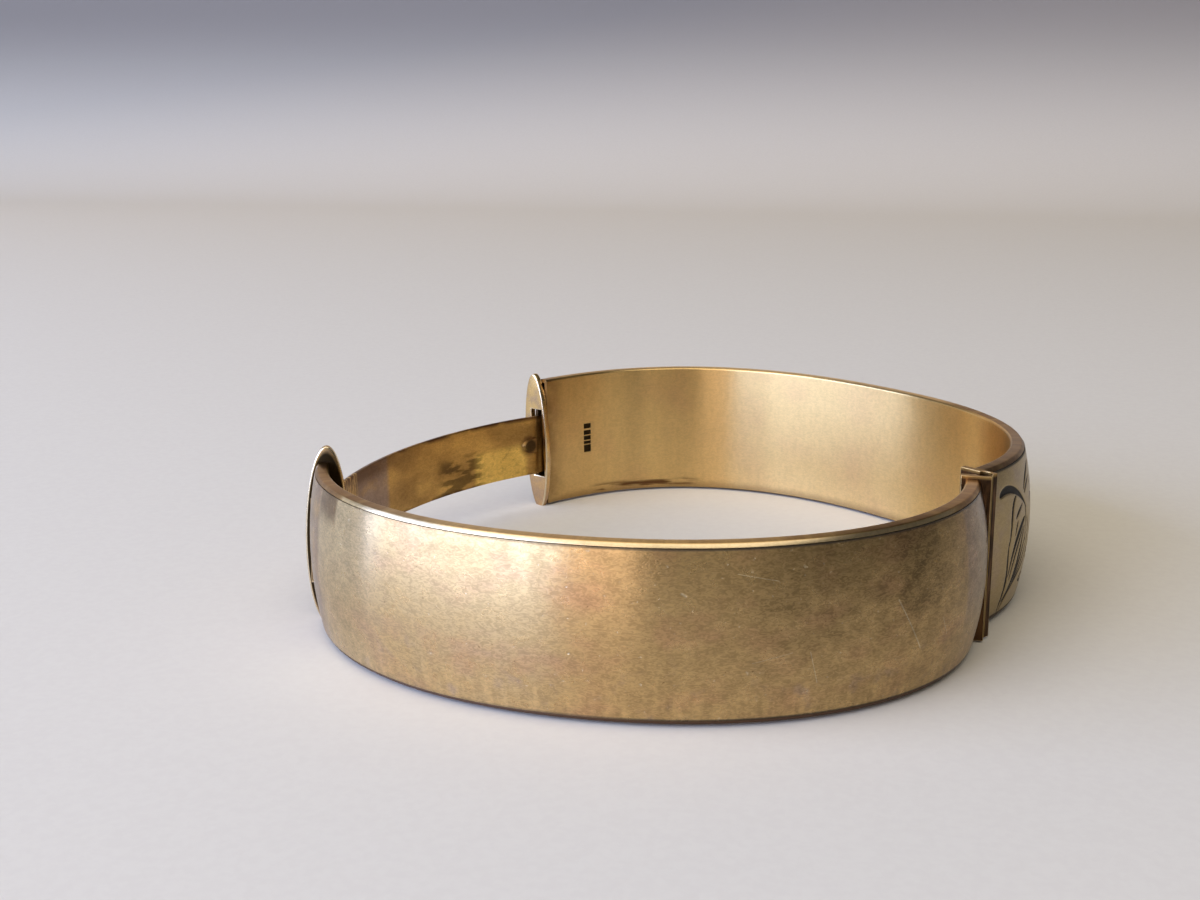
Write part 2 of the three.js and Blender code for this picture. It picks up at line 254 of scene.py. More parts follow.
class BangleSizes(bpy.types.PropertyGroup):
    """The sizes that a maker would change"""

    band_height: size("Band height", "Width of the band from edge to edge", 15.4)
    crown: size("Crown", "Thickness of the band in the middle of its dome", 2.33)
    edge_strip: size("Edge strip", "Flat width of the lining's turned-out edges", 1.13)
    bevel_out: size("Bevel out", "How far the bevel at an edge reaches outwards", 0.31)
    bevel_drop: size("Bevel drop", "How far the bevel at an edge reaches in from it", 0.41)
    sheet: size("Sheet", "Thickness of the sheet metal", 0.4)
    seam: size("Seam", "Width of the open seam between lining and dome", 0.02)
    slide_end_thinning: FloatProperty(
        name="Thinning at the slide",
        description="Share of its depth that the plain half loses by its slide end",
        default=0.13, min=0, max=0.5, subtype="FACTOR",
    )
    plate_thickness: size("Plate thickness", "Thickness of the slotted end plates", 0.72)
    tongue_thickness: size("Tongue thickness", "Thickness of the spring tongue", 0.45)
    engraving_depth: size("Engraving depth", "Depth of the broadest cuts", 0.1)


class BangleColours(bpy.types.PropertyGroup):
    """The colours that the finishes are mixed from"""

    gold: colour("Gold", "Rolled gold where it is clean", "#CDAD78")
    rose: colour("Rose", "Rolled gold worn down towards its copper", "#C99A76")
    tarnish: colour("Tarnish", "Grey-lilac tarnish near soldered ends", "#9C8A86")
    green_gold: colour("Green gold", "The engraved half's duller gold", "#A8946C")
    champagne: colour("Champagne", "The satin lining", "#E2C183")
    rim_brown: colour("Rim brown", "Gold edges browned by solder heat and wear", "#9C7750")
    # Brown edge and oxide also paint the shade on the linings' lower lips and beside the plates, and plate
    # paints the highlights on the linings' upper bevels and a reflection on the plain dome
    brown_edge: colour("Brown edge", "Oxidised edge strips and hinge plates", "#6E4F33")
    plate: colour("Plate", "Polished slotted plates", "#E9D9B6")
    spring_brass: colour("Spring brass", "The tongue's tarnished brass", "#D6AC62")
    bright_brass: colour("Bright brass", "Rubbed patches of the tongue", "#FFDA78")
    oxide: colour("Oxide", "Black in the engraved cuts and old dirt", "#15110D")
    surface: colour("Surface", "The plain surface it lies on", "#D9D5C8")
    back: colour("Back", "The curved back behind it", "#8C8883")


# ---- shapes -------------------------------------------------------------------------------------


def drawing_angle(oval, y):
    """The oval's own angle at height y on its hinge side."""
    return math.copysign(math.asin((abs(y) / oval.half_width) ** (oval.squareness / 2)), y)


def summed(lengths):
    """How far along each point of a line is, from the lengths between its points."""
    return np.concatenate(([0], np.cumsum(lengths)))


def even_steps(places, spacing):
    """Points at even steps along a line of close places, and the line's length."""
    run = summed(np.linalg.norm(np.diff(places, axis=0), axis=1))
    stations = np.linspace(0, run[-1], math.ceil(run[-1] / spacing) + 1)
    even = np.stack([np.interp(stations, run, axis) for axis in places.T], 1)
    return [Vector(point) for point in even], run[-1]


def frames_on(points):
    """A frame at each point of a line: x along it, y outwards, z up."""
    frames = []
    for before, point, after in zip(points[:1] + points[:-1], points, points[1:] + points[-1:]):
        along = (after - before).normalized()
        turn = Matrix((along, UP.cross(along), UP)).transposed().to_4x4()
        frames.append(Matrix.Translation(point) @ turn)
    return frames


def oval_frames(oval, start, end, spacing, place):
    """Even stations on an oval between two of its angles, and the length between them."""
    angles = np.linspace(start, end, OVAL_SAMPLES)
    cosines, sines = np.cos(angles), np.sin(angles)
    power = 2 / oval.squareness
    x = oval.centre_x + oval.half_length * np.sign(cosines) * np.abs(cosines) ** power
    y = oval.half_width * np.sign(sines) * np.abs(sines) ** power
    points, length = even_steps(np.stack((x, y, 0 * x), 1), spacing)
    return [place @ frame for frame in frames_on(points)], length


def rounded_off(bm, geom, rounding, segments, affect="EDGES"):
    """Bevels edges, or corners of a flat drawing, and gives what that made."""
    return bmesh.ops.bevel(
        bm, geom=geom, offset=rounding, offset_type="OFFSET", segments=segments, profile=0.5,
        affect=affect, material=-1,
    )


def rounded_outline(corners, roundings):
    """The (out, up) corners of a section after some, told by number, are rounded off by a size each."""
    bm = bmesh.new()
    verts = [bm.verts.new((0, out, height)) for out, height in corners]
    bm.faces.new(verts)
    for number, rounding in roundings.items():
        rounded_off(bm, [verts[number]], rounding, 3, affect="VERTICES")
    bm.faces.ensure_lookup_table()
    outline = [(vert.co.y, vert.co.z) for vert in bm.faces[0].verts]
    bm.free()
    return outline


def sweep(bm, outline, frames, faced=0):
    """Bends a grid into a closed bar: its rows follow a section's corners and its columns the frames.

    Each vertex keeps where it is along the bar, up it and out from it, in millimetres, and whether it
    is one of the first `faced` corners. The bar is unrolled in its UV map, upwards in u and along in v.
    """
    floats = bm.verts.layers.float
    along, up, out_of, outside = (floats.new(name) for name in ("along", "up", "out", "outside"))
    unrolled = bm.loops.layers.uv.new("unrolled")
    columns, rows = len(frames) - 1, len(outline)
    places = [Vector((0, out, height)) for out, height in outline]
    run = summed([(b.translation - a.translation).length for a, b in zip(frames, frames[1:])])
    girth = summed([(b - a).length for a, b in zip(places, places[1:] + places[:1])])
    bmesh.ops.create_grid(bm, x_segments=columns, y_segments=rows, size=1)
    seam = []
    for vert in bm.verts:
        column, row = round((vert.co.x + 1) / 2 * columns), round((vert.co.y + 1) / 2 * rows)
        place = places[row % rows]
        vert.co = frames[column] @ place
        vert[along], vert[up], vert[out_of] = run[column] / MM, place.z / MM, place.y / MM
        vert[outside] = row % rows < faced
        for loop in vert.link_loops:
            loop[unrolled].uv = (girth[row] * UV_PER_METRE, run[column] * UV_PER_METRE)
        if row in (0, rows):
            seam.append(vert)
    bmesh.ops.remove_doubles(bm, verts=seam, dist=TOUCHING)
    open_edges = [edge for edge in bm.edges if edge.is_boundary]
    bmesh.ops.edgeloop_fill(bm, edges=open_edges)
    bmesh.ops.recalc_face_normals(bm, faces=bm.faces)


def dome_arc(sizes, inset, steps):
    """Points of the dome's section, from its lower edge to its upper one, moved in by inset."""
    half = sizes.band_height / 2 - sizes.bevel_drop
    foot = sizes.edge_strip + sizes.bevel_out
    rise = sizes.crown - foot
    radius = (half**2 + rise**2) / (2 * rise)
    spread = math.asin((half - sizes.seam) / radius)
    middle = sizes.band_height / 2
    return [
        (foot + rise - radius + (radius - inset) * math.cos(a), middle + (radius - inset) * math.sin(a))
        for a in np.linspace(-spread, spread, steps + 1)
    ]


def lining_outline(sizes, wall_rows=()):
    """The lining's section: a flat inner wall whose edges turn outwards and end in a bevel."""
    height, sheet = sizes.band_height, sizes.sheet
    lip = sizes.edge_strip + sizes.bevel_out
    under = sizes.bevel_drop
    lower = [(0, 0), (sizes.edge_strip, 0), (lip, under), (lip - sheet, under), (sheet, under)]
    upper = [(out, height - up) for out, up in reversed(lower)]
    lips = dict.fromkeys((0, 1, 2, 7, 8), LIP_ROUNDING)
    outline = rounded_outline(lower + upper, {**lips, 9: UPPER_RIM_ROUNDING})
    top = max(range(len(outline)), key=lambda i: outline[i][1] if outline[i][0] < TOUCHING else 0)
    turned = outline[top:] + outline[:top]
    return [turned[0], *((0, row) for row in sorted(wall_rows, reverse=True)), *turned[1:]]


def half_line(half, spacing):
    """The stations of a half band from its start: the engraved half starts at its slide end."""
    band_end = HINGE_GAP / 2 + HINGE_PLATE_THICKNESS
    if half is ENGRAVED:
        start = math.pi - drawing_angle(half.oval, ENGRAVED_SLIDE_END_Y)
        end = drawing_angle(half.oval, PIN_ON_DRAWING.y + band_end)
    else:
        start = drawing_angle(half.oval, PIN_ON_DRAWING.y - band_end)
        end = -math.pi - drawing_angle(half.oval, PLAIN_SLIDE_END_Y)
    return oval_frames(half.oval, start, end, spacing, half.place)


def drawn_in(frames, thinner):
    """The stations of a band whose section gets thinner outwards by a share, near its slide end."""
    shares = np.clip((np.linspace(0, 1, len(frames)) - THINNING_FROM) / THINNING_OVER, 0, 1)
    eased = shares**2 * (3 - 2 * shares)
    return [
        frame @ Matrix.Diagonal((1, 1 - thinner * share, 1, 1)) for frame, share in zip(frames, eased)
    ]


def dome_bar(sizes, frames, steps):
    """The domed sheet as a bar, with its outer side's corners first."""
    outer, inner = (dome_arc(sizes, inset, n) for inset, n in zip((0, sizes.sheet), steps))
    bm = bmesh.new()
    sweep(bm, outer + inner[::-1], frames, faced=len(outer))
    return bm


def smooth_mesh(name, bm, material):
    """A finished bmesh as a mesh of its own, shaded smooth."""
    mesh = bpy.data.meshes.new(name)
    bm.to_mesh(mesh)
    bm.free()
    mesh.shade_smooth()
    mesh.materials.append(material)
    return mesh


def make_piece(name, bm, material, slot, node, body=None, sharp=32, even=False):
    """A finished bmesh as a named piece that rides on a body and stands for a node."""
    mesh = smooth_mesh(name, bm, material)
    mesh.set_sharp_from_angle(angle=math.radians(sharp))
    piece = bpy.data.objects.new(name, mesh)
    bpy.context.scene.collection.objects.link(piece)
    if even:
        piece.modifiers.new("even_shading", "WEIGHTED_NORMAL").keep_sharp = True
    if body:
        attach(piece, body)
    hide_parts(node)
    return piece


def half_piece(half, part, bm, material, **look):
    """A finished bmesh as a piece of a half band."""
    make_piece(f"{half.name}_{part}", bm, material, half.slot, half.name, half.body, **look)


# ---- engraving ----------------------------------------------------------------------------------

# A cut is a bent line of four control points in millimetres, (from the panel's start, up the band),
# as broad as `broad` at the share `at` of its length, and tapered to a hairline at both ends
Cut = namedtuple("Cut", "points broad at")
HAIRLINE = 0.12
MOTIF_LENGTH = 13.6
PANEL_FROM_HINGE = 2.1
CUT_FLANK = 0.16
# From one quarter turn of a coil to the next, its radius and its breadth shrink by these shares, and
# the turn's control points stand off by this share of the radius
COIL_SHRINKING = 0.74
COIL_THINNING = 0.85
COIL_PULL = 0.55


def cut_samples(cut):
    """Points along a cut with half its breadth there."""
    p0, p1, p2, p3 = (np.array(p, float) for p in cut.points)
    rough = sum(np.linalg.norm(b - a) for a, b in ((p0, p1), (p1, p2), (p2, p3)))
    t = np.linspace(0, 1, max(8, int(rough / 0.1)))[:, None]
    line = p0 * (1 - t) ** 3 + 3 * p1 * t * (1 - t) ** 2 + 3 * p2 * t**2 * (1 - t) + p3 * t**3
    swell = np.sin(math.pi * t[:, 0] ** (math.log(0.5) / math.log(cut.at)))
    return line, (HAIRLINE + (cut.broad - HAIRLINE) * swell) / 2


def curl_cuts(centre, radius, turn, hand, broad):
    """A scroll's coil, wound inwards in quarter turns from the angle `turn`."""
    cuts = []
    for quarter in range(5):
        here = radius * COIL_SHRINKING**quarter
        there = here * COIL_SHRINKING
        a = turn + hand * quarter * math.pi / 2
        b = a + hand * math.pi / 2
        start = (centre[0] + here * math.cos(a), centre[1] + here * math.sin(a))
        end = (centre[0] + there * math.cos(b), centre[1] + there * math.sin(b))
        pull = COIL_PULL * hand
        leave = (start[0] - pull * here * math.sin(a), start[1] + pull * here * math.cos(a))
        meet = (end[0] + pull * there * math.sin(b), end[1] - pull * there * math.cos(b))
        cuts.append(Cut((start, leave, meet, end), broad * COIL_THINNING**quarter, 0.5))
    return cuts


def leaf_cuts(root, direction, length, bend, veins):
    """A leaf: two bowed sides, one cut broad for its shade, and short veins between them."""
    along = np.array((math.cos(direction), math.sin(direction)))
    across = np.array((-along[1], along[0]))

    def at(share, side):
        bow = bend * 4 * share * (1 - share)
        return tuple(np.array(root) + along * length * share + across * length * (bow + side))

    cuts = [
        Cut((at(0, 0), at(0.3, 0.24), at(0.75, 0.2), at(1, 0)), 0.2, 0.5),
        Cut((at(0, 0), at(0.3, -0.2), at(0.7, -0.24), at(1, 0)), 0.52, 0.6),
        Cut((at(0.06, 0), at(0.3, 0.03), at(0.6, 0.02), at(0.9, 0)), 0.18, 0.4),
    ]
    ahead = (0, 0.03, 0.07, 0.12)
    for i in range(veins):
        share = 0.2 + 0.6 * i / max(1, veins - 1)
        for sides, broad, swell in (
            ((0.01, 0.05, 0.09, 0.11), 0.22, 0.4), ((-0.01, -0.04, -0.08, -0.12), 0.26, 0.6),
        ):
            points = tuple(at(share + step, side) for step, side in zip(ahead, sides))
            cuts.append(Cut(points, broad, swell))
    return cuts


# One scroll with its long leaf, in a box of the motif's length by the band's height: each row is a
# cut's four control points, its breadth and where it is that broad
MOTIF_CUTS = (
    # the crescent that caps the scroll, and the stem it runs into
    (0.5, 12.5, 1.7, 13.45, 4.2, 12.7, 6.6, 10.1, 0.72, 0.34),
    (6.2, 10.5, 6.8, 9.3, 6.2, 8.2, 6.6, 6.7, 0.22, 0.3),
    # the outer line of the long leaf that hangs under it
    (3.7, 11.9, 2.4, 11.2, 2.8, 8.9, 2.15, 7.3, 0.3, 0.35),
    (2.2, 7.7, 1.85, 6.0, 2.5, 4.7, 2.4, 3.2, 0.24, 0.5),
    (2.2, 4.9, 2.7, 3.3, 2.1, 2.2, 1.9, 0.7, 0.34, 0.4),
    # the shading inside the leaf
    (5.3, 10.7, 4.8, 10.5, 4.1, 10.1, 3.6, 9.7, 0.3, 0.6),
    (4.1, 9.3, 3.9, 9.0, 3.7, 8.7, 3.5, 8.1, 0.22, 0.5),
    (6.1, 9.2, 4.2, 8.3, 3.0, 6.9, 2.7, 4.2, 0.6, 0.28),
    (5.6, 8.3, 4.4, 7.2, 3.5, 5.8, 3.1, 3.7, 0.32, 0.5),
    (6.0, 8.3, 4.7, 6.0, 4.7, 3.6, 2.4, 1.6, 0.44, 0.5),
    (6.7, 7.4, 5.6, 5.8, 5.1, 4.4, 3.7, 2.9, 0.36, 0.5),
    (7.4, 6.9, 6.6, 5.2, 5.6, 4.3, 4.2, 3.2, 0.3, 0.5),
    (8.2, 6.3, 7.4, 3.6, 3.6, 3.6, 2.3, 0.8, 0.32, 0.5),
    (7.0, 9.0, 7.4, 8.3, 7.7, 7.4, 7.6, 6.4, 0.26, 0.5),
    # the tips of the next leaf, over the stem
    (9.3, 14.0, 7.9, 13.7, 6.6, 12.9, 6.0, 12.0, 0.38, 0.5),
    (8.6, 12.7, 7.6, 12.4, 6.8, 12.0, 6.2, 11.6, 0.28, 0.5),
    (11.0, 12.9, 10.7, 12.4, 9.9, 12.0, 9.0, 11.8, 0.34, 0.5),
    # two stems low down
    (10.6, 3.0, 11.9, 3.4, 13.0, 4.4, 13.3, 6.0, 0.36, 0.6),
    (9.8, 1.2, 11.0, 0.9, 12.6, 1.3, 13.9, 2.2, 0.3, 0.4),
)


def motif_cuts():
    """The scroll with a coil and three leaves beside it."""
    cuts = [Cut((row[:2], row[2:4], row[4:6], row[6:8]), *row[8:]) for row in MOTIF_CUTS]
    cuts += curl_cuts((10.4, 8.9), 2.3, math.radians(150), -1, 0.5)
    cuts += leaf_cuts((8.0, 5.4), math.radians(-30), 4.9, -0.1, 4)
    cuts += leaf_cuts((12.2, 7.4), math.radians(72), 3.8, -0.08, 3)
    cuts += leaf_cuts((6.4, 2.6), math.radians(-4), 3.8, 0.1, 2)
    return cuts


def panel_cuts(length, height):
    """Scrolls along the whole panel, each turned over from the one before it."""
    cuts = []
    for i in range(int(length // MOTIF_LENGTH)):
        for cut in motif_cuts():
            points = tuple((x + i * MOTIF_LENGTH, height - y if i % 2 else y) for x, y in cut.points)
            cuts.append(Cut(points, cut.broad, cut.at))
    return cuts


def engrave(bm, sizes, length):
    """Sinks the cuts into the dome and marks them, so that the black stays in them."""
    floats = bm.verts.layers.float
    along, up, outside, mark = floats["along"], floats["up"], floats["outside"], floats.new("cut")
    face = [vert for vert in bm.verts if vert[outside]]
    place = np.array([(length / MM - vert[along] - PANEL_FROM_HINGE, vert[up]) for vert in face])
    share = np.zeros(len(face))
    for cut in panel_cuts(length / MM - 2 * PANEL_FROM_HINGE, sizes.band_height / MM):
        line, half = cut_samples(cut)
        low, high = line.min(0) - 1, line.max(0) + 1
        near = np.nonzero(((place > low) & (place < high)).all(1))[0]
        if len(near):
            gaps = np.linalg.norm(place[near, None] - line[None], axis=2) - half
            share[near] = np.maximum(share[near], np.clip(0.5 - gaps.min(1) / CUT_FLANK, 0, 1))
    bm.normal_update()
    for vert, part in zip(face, share):
        vert[mark] = part
        vert.co -= vert.normal * float(part) * sizes.engraving_depth


# ---- finishes -----------------------------------------------------------------------------------


def add(tree, kind, inputs=(), out=None, **settings):
    """Adds a node with its settings, and gives its first output in use, or the one named.

    The inputs, in their order or under their names, are values or the sockets that feed them.
    """
    node = tree.nodes.new("ShaderNode" + kind)
    for name, value in settings.items():
        setattr(node, name, value)
    for key, value in inputs.items() if isinstance(inputs, dict) else enumerate(inputs):
        if isinstance(value, bpy.types.NodeSocket):
            tree.links.new(value, node.inputs[key])
        else:
            node.inputs[key].default_value = value
    in_use = (socket for socket in node.outputs if socket.enabled)
    return node.outputs[out] if out else next(in_use, None)


def mask(tree, *parts, by="MULTIPLY"):
    """How strongly a layer shows: its parts, put together by a mathematical operation.

    A part is a number, a socket, or a smooth rise: a value, where the rise starts, where it ends, and
    if it doesn't run from 0 to 1, its two ends.
    """
    whole = None
    for part in parts:
        if isinstance(part, tuple):
            part = add(tree, "MapRange", part, interpolation_type="SMOOTHSTEP")
        whole = part if whole is None else add(tree, "Math", (whole, part), operation=by)
    return whole


def between(value, low, high, soft):
    """Two parts of a mask: 1 between low and high, going to 0 over the soft distance on both sides."""
    return (value, low - soft / 2, low + soft / 2), (value, high + soft / 2, high - soft / 2)


def blotches(tree, place, size_mm, low, high, stretch=(1, 1, 1), detail=3.0, distortion=0.0):
    """Noise of a real size, spread so that it runs from 0 at low to 1 at high."""
    drawn = add(tree, "VectorMath", (place, stretch), operation="MULTIPLY")
    grain = {"Vector": drawn, "Scale": 1 / size_mm, "Detail": detail, "Distortion": distortion}
    return mask(tree, (add(tree, "TexNoise", grain), low, high))


def rubbing(tree, place):
    """Fine wavy rubbing marks, longer along the band.

    Real ones are a few hundredths of a millimetre apart, too fine to show, and these a quarter.
    """
    return blotches(tree, place, 0.26, 0.3, 0.7, stretch=(0.5, 1, 0.5), detail=2.0, distortion=1.5)


def scratch(tree, place, start, end, breadth_mm):
    """A part of a mask: 1 along a straight scratch between two places, and 0 away from it."""
    run = Vector((end[0] - start[0], end[1] - start[1], 0))
    offset = add(tree, "VectorMath", (place, (*start, 0)), operation="SUBTRACT")
    share = add(tree, "VectorMath", (offset, run / run.length_squared), operation="DOT_PRODUCT")
    on_line = {0: run, "Scale": add(tree, "Clamp", (share,))}
    nearest = add(tree, "VectorMath", on_line, operation="SCALE")
    return add(tree, "VectorMath", (offset, nearest), operation="DISTANCE"), breadth_mm / 2, 0.0


def waves(tree, place, size_mm):
    """A layer of relief: the faint waves that hand work leaves in sheet metal."""
    return blotches(tree, place, size_mm, 0.2, 0.8, detail=1.0), 0.02


def relief(tree, *layers):
    """The way the surface faces, with layers of relief: each is a height and its depth in mm."""
    under = {}
    for height, depth_mm in layers:
        inputs = {"Strength": 1.0, "Distance": depth_mm * MM, "Height": height}
        under["Normal"] = add(tree, "Bump", inputs | under)
    return under["Normal"]


def layered(tree, ground, *layers):
    """A ground colour with others laid over it in turn: each is a colour and the parts of its mask."""
    base = (*ground, 1)
    for colour, *parts in layers:
        base = add(tree, "Mix", {0: mask(tree, *parts), 6: base, 7: (*colour, 1)}, data_type="RGBA")
    return base


def shade(tree, colour, light):
    """Darkens or lightens a colour by a factor that varies over the piece, a part of a mask."""
    grey = add(tree, "CombineColor", [mask(tree, light)] * 3)
    return add(tree, "Mix", {0: 1.0, 6: colour, 7: grey}, data_type="RGBA", blend_type="MULTIPLY")


def on_bar(tree, *others):
    """Where a point is on a bar in mm: a vector, along it and up it; then other kept values."""
    values = [
        add(tree, "Attribute", out="Fac", attribute_name=name) for name in ("along", "up", *others)
    ]
    return add(tree, "CombineXYZ", values[:2]), *values


def on_object(tree, *others):
    """Where a point is on the object in mm: a vector and its height; then other kept values."""
    metres = add(tree, "TexCoord", out="Object")
    place = add(tree, "VectorMath", {0: metres, "Scale": 1 / MM}, operation="SCALE")
    values = [add(tree, "Attribute", out="Fac", attribute_name=name) for name in others]
    return place, add(tree, "SeparateXYZ", (place,), out="Z"), *values


def new_finish(name):
    """A new material and its empty node tree."""
    material = bpy.data.materials.new(name)
    material.use_nodes = True
    material.node_tree.nodes.clear()
    return material, material.node_tree


def finished(material, **sockets):
    """Ends a finish with its shader, whose sockets are fed by parts of a mask; it is metal if not told.

    Metal rubbed along a band is anisotropic, and streaks its highlights across the band.
    """
    tree = material.node_tree
    sockets = {"metallic": 1.0, **sockets}
    if "anisotropic" in sockets:
        sockets["tangent"] = add(tree, "Tangent", direction_type="UV_MAP", uv_map="unrolled")
    inputs = {name.replace("_", " ").title(): mask(tree, part) for name, part in sockets.items()}
    add(tree, "OutputMaterial", (add(tree, "BsdfPrincipled", inputs),))
    return material


def worn_rolled_gold(sizes, colours, length):
    """Rolled gold, rubbed satin in wear: blotchy, lilac towards its soldered ends, finely scratched; a pale
    reflection and dark ones are painted in.
    """
    material, tree = new_finish("worn_rolled_gold")
    place, along, up = on_bar(tree)
    height = sizes.band_height / MM
    near_ends = mask(tree, (along, 6.5, 1.0), (along, length - 9.5, length - 6.5), by="MAXIMUM")
    clouds = mask(tree, near_ends, blotches(tree, place, 3.0, 0.25, 0.6), 0.65)
    low_patches = mask(tree, blotches(tree, place, 2.0, 0.55, 0.75), (up, 7.0, 3.0), 0.35)
    seams = mask(tree, (up, 0.66, 0.5), (up, height - 0.66, height - 0.5), by="MAXIMUM")
    seams = mask(tree, seams, (along, 30.0, 60.0, 0.85, 0.12))
    # Each straight scratch: where it starts and ends, along and up the band, and its breadth
    scratches = [
        scratch(tree, place, start, end, breadth)
        for start, end, breadth in (
            ((17.2, 9.4), (14.6, 4.6), 0.17),
            ((30.4, 13.0), (27.3, 12.3), 0.1),
            ((29.3, 5.6), (26.2, 6.3), 0.07),
            ((24.8, 6.2), (24.1, 3.4), 0.09),
            ((12.0, 6.6), (11.3, 4.9), 0.1),
            ((34.6, 11.5), (34.3, 11.3), 0.34),
        )
    ]
    nicks = mask(tree, blotches(tree, place, 0.5, 0.69, 0.73), 0.7)
    marks = mask(tree, *scratches, nicks, by="MAXIMUM")
    base = layered(
        tree, colours.gold,
        (colours.rose, blotches(tree, place, 5.0, 0.45, 0.75, stretch=(1, 1.5, 1)), 0.45),
        # Tarnish clouds the ends, where solder heat browned the metal, and lies in patches low down
        (colours.tarnish, mask(tree, clouds, low_patches, by="MAXIMUM")),
        # Beside the slide end's tarnish a pale window reflection is painted in, most of it high up
        (colours.plate, (along, length - 20.0, length - 12.5), (along, length - 7.1, length - 8.0),
         (up, 4.0, 12.0, 0.35, 0.8)),
        (colours.tarnish, (along, 8.6, 7.8), (up, 3.0, 7.0), 0.5),
        (colours.brown_edge, *between(along, length - 11.4, length - 7.6, 0.7),
         (up, height - 3.8, height - 1.6), blotches(tree, place, 1.2, 0.15, 0.5), 0.75),
        # Dirt stays along the seams with the lining, most of it towards the hinge
        (colours.oxide, seams),
        (colours.plate, marks, 0.7),
        # Pinhole pits
        (colours.brown_edge, blotches(tree, place, 0.42, 0.3, 0.26), 0.5),
    )
    fine = rubbing(tree, place)
    strokes = blotches(tree, place, 0.7, 0.4, 0.65, stretch=(1, 0.16, 1), detail=2.0)
    strokes = mask(tree, strokes, (up, 4.6, 1.2))
    patchy = blotches(tree, place, 1.6, 0.25, 0.75)
    light = mask(tree, (fine, 0.0, 1.0, 0.8, 1.01), mask(tree, strokes, 0.14), by="ADD")
    # Painted shade: darker towards the hinge, and in an upright band with a crisp edge, as painted dark
    # reflections
    painted_dark_towards_hinge = mask(tree, (along, 36.0, 25.0), (up, 3.0, 10.5, 0.1, 0.26))
    painted_dark_band = mask(tree, *between(along, 12.4, 17.0, 1.2), (up, 5.0, 10.0), 0.14)
    light = mask(tree, light, mask(tree, patchy, 0.16), painted_dark_towards_hinge, painted_dark_band, by="SUBTRACT")
    return finished(
        material, anisotropic=0.95,
        base_color=shade(tree, base, light),
        metallic=(seams, 0.0, 1.0, 1.0, 0.4),
        roughness=(patchy, 0.0, 1.0, 0.27, 0.32),
        normal=relief(
            tree, waves(tree, place, 6.0), (mask(tree, fine, strokes, by="ADD"), 0.003),
            (mask(tree, 1.0, marks, by="SUBTRACT"), 0.015),
        ),
    )


def engraved_gold(sizes, colours):
    """Rolled gold cut with a graver: duller green-gold skin, and black oxide that stays in the cuts."""
    material, tree = new_finish("engraved_rolled_gold")
    place, _, up, cut = on_bar(tree, "cut")
    height = sizes.band_height / MM
    seams = mask(tree, (up, 0.75, 0.5), (up, height - 0.72, height - 0.52), by="MAXIMUM")
    dirt = mask(tree, (cut, 0.1, 0.6), mask(tree, seams, 0.9), by="MAXIMUM")
    base = layered(
        tree, colours.green_gold,
        (colours.tarnish, blotches(tree, place, 2.4, 0.42, 0.75), 0.4),
        (colours.oxide, dirt),
    )
    fine = rubbing(tree, place)
    return finished(
        material,
        base_color=shade(tree, base, (fine, 0.0, 1.0, 0.86, 1.0)),
        metallic=(dirt, 0.0, 1.0, 1.0, 0.3),
        roughness=(dirt, 0.0, 1.0, 0.34, 0.6),
        normal=relief(tree, waves(tree, place, 7.0), (fine, 0.003)),
    )


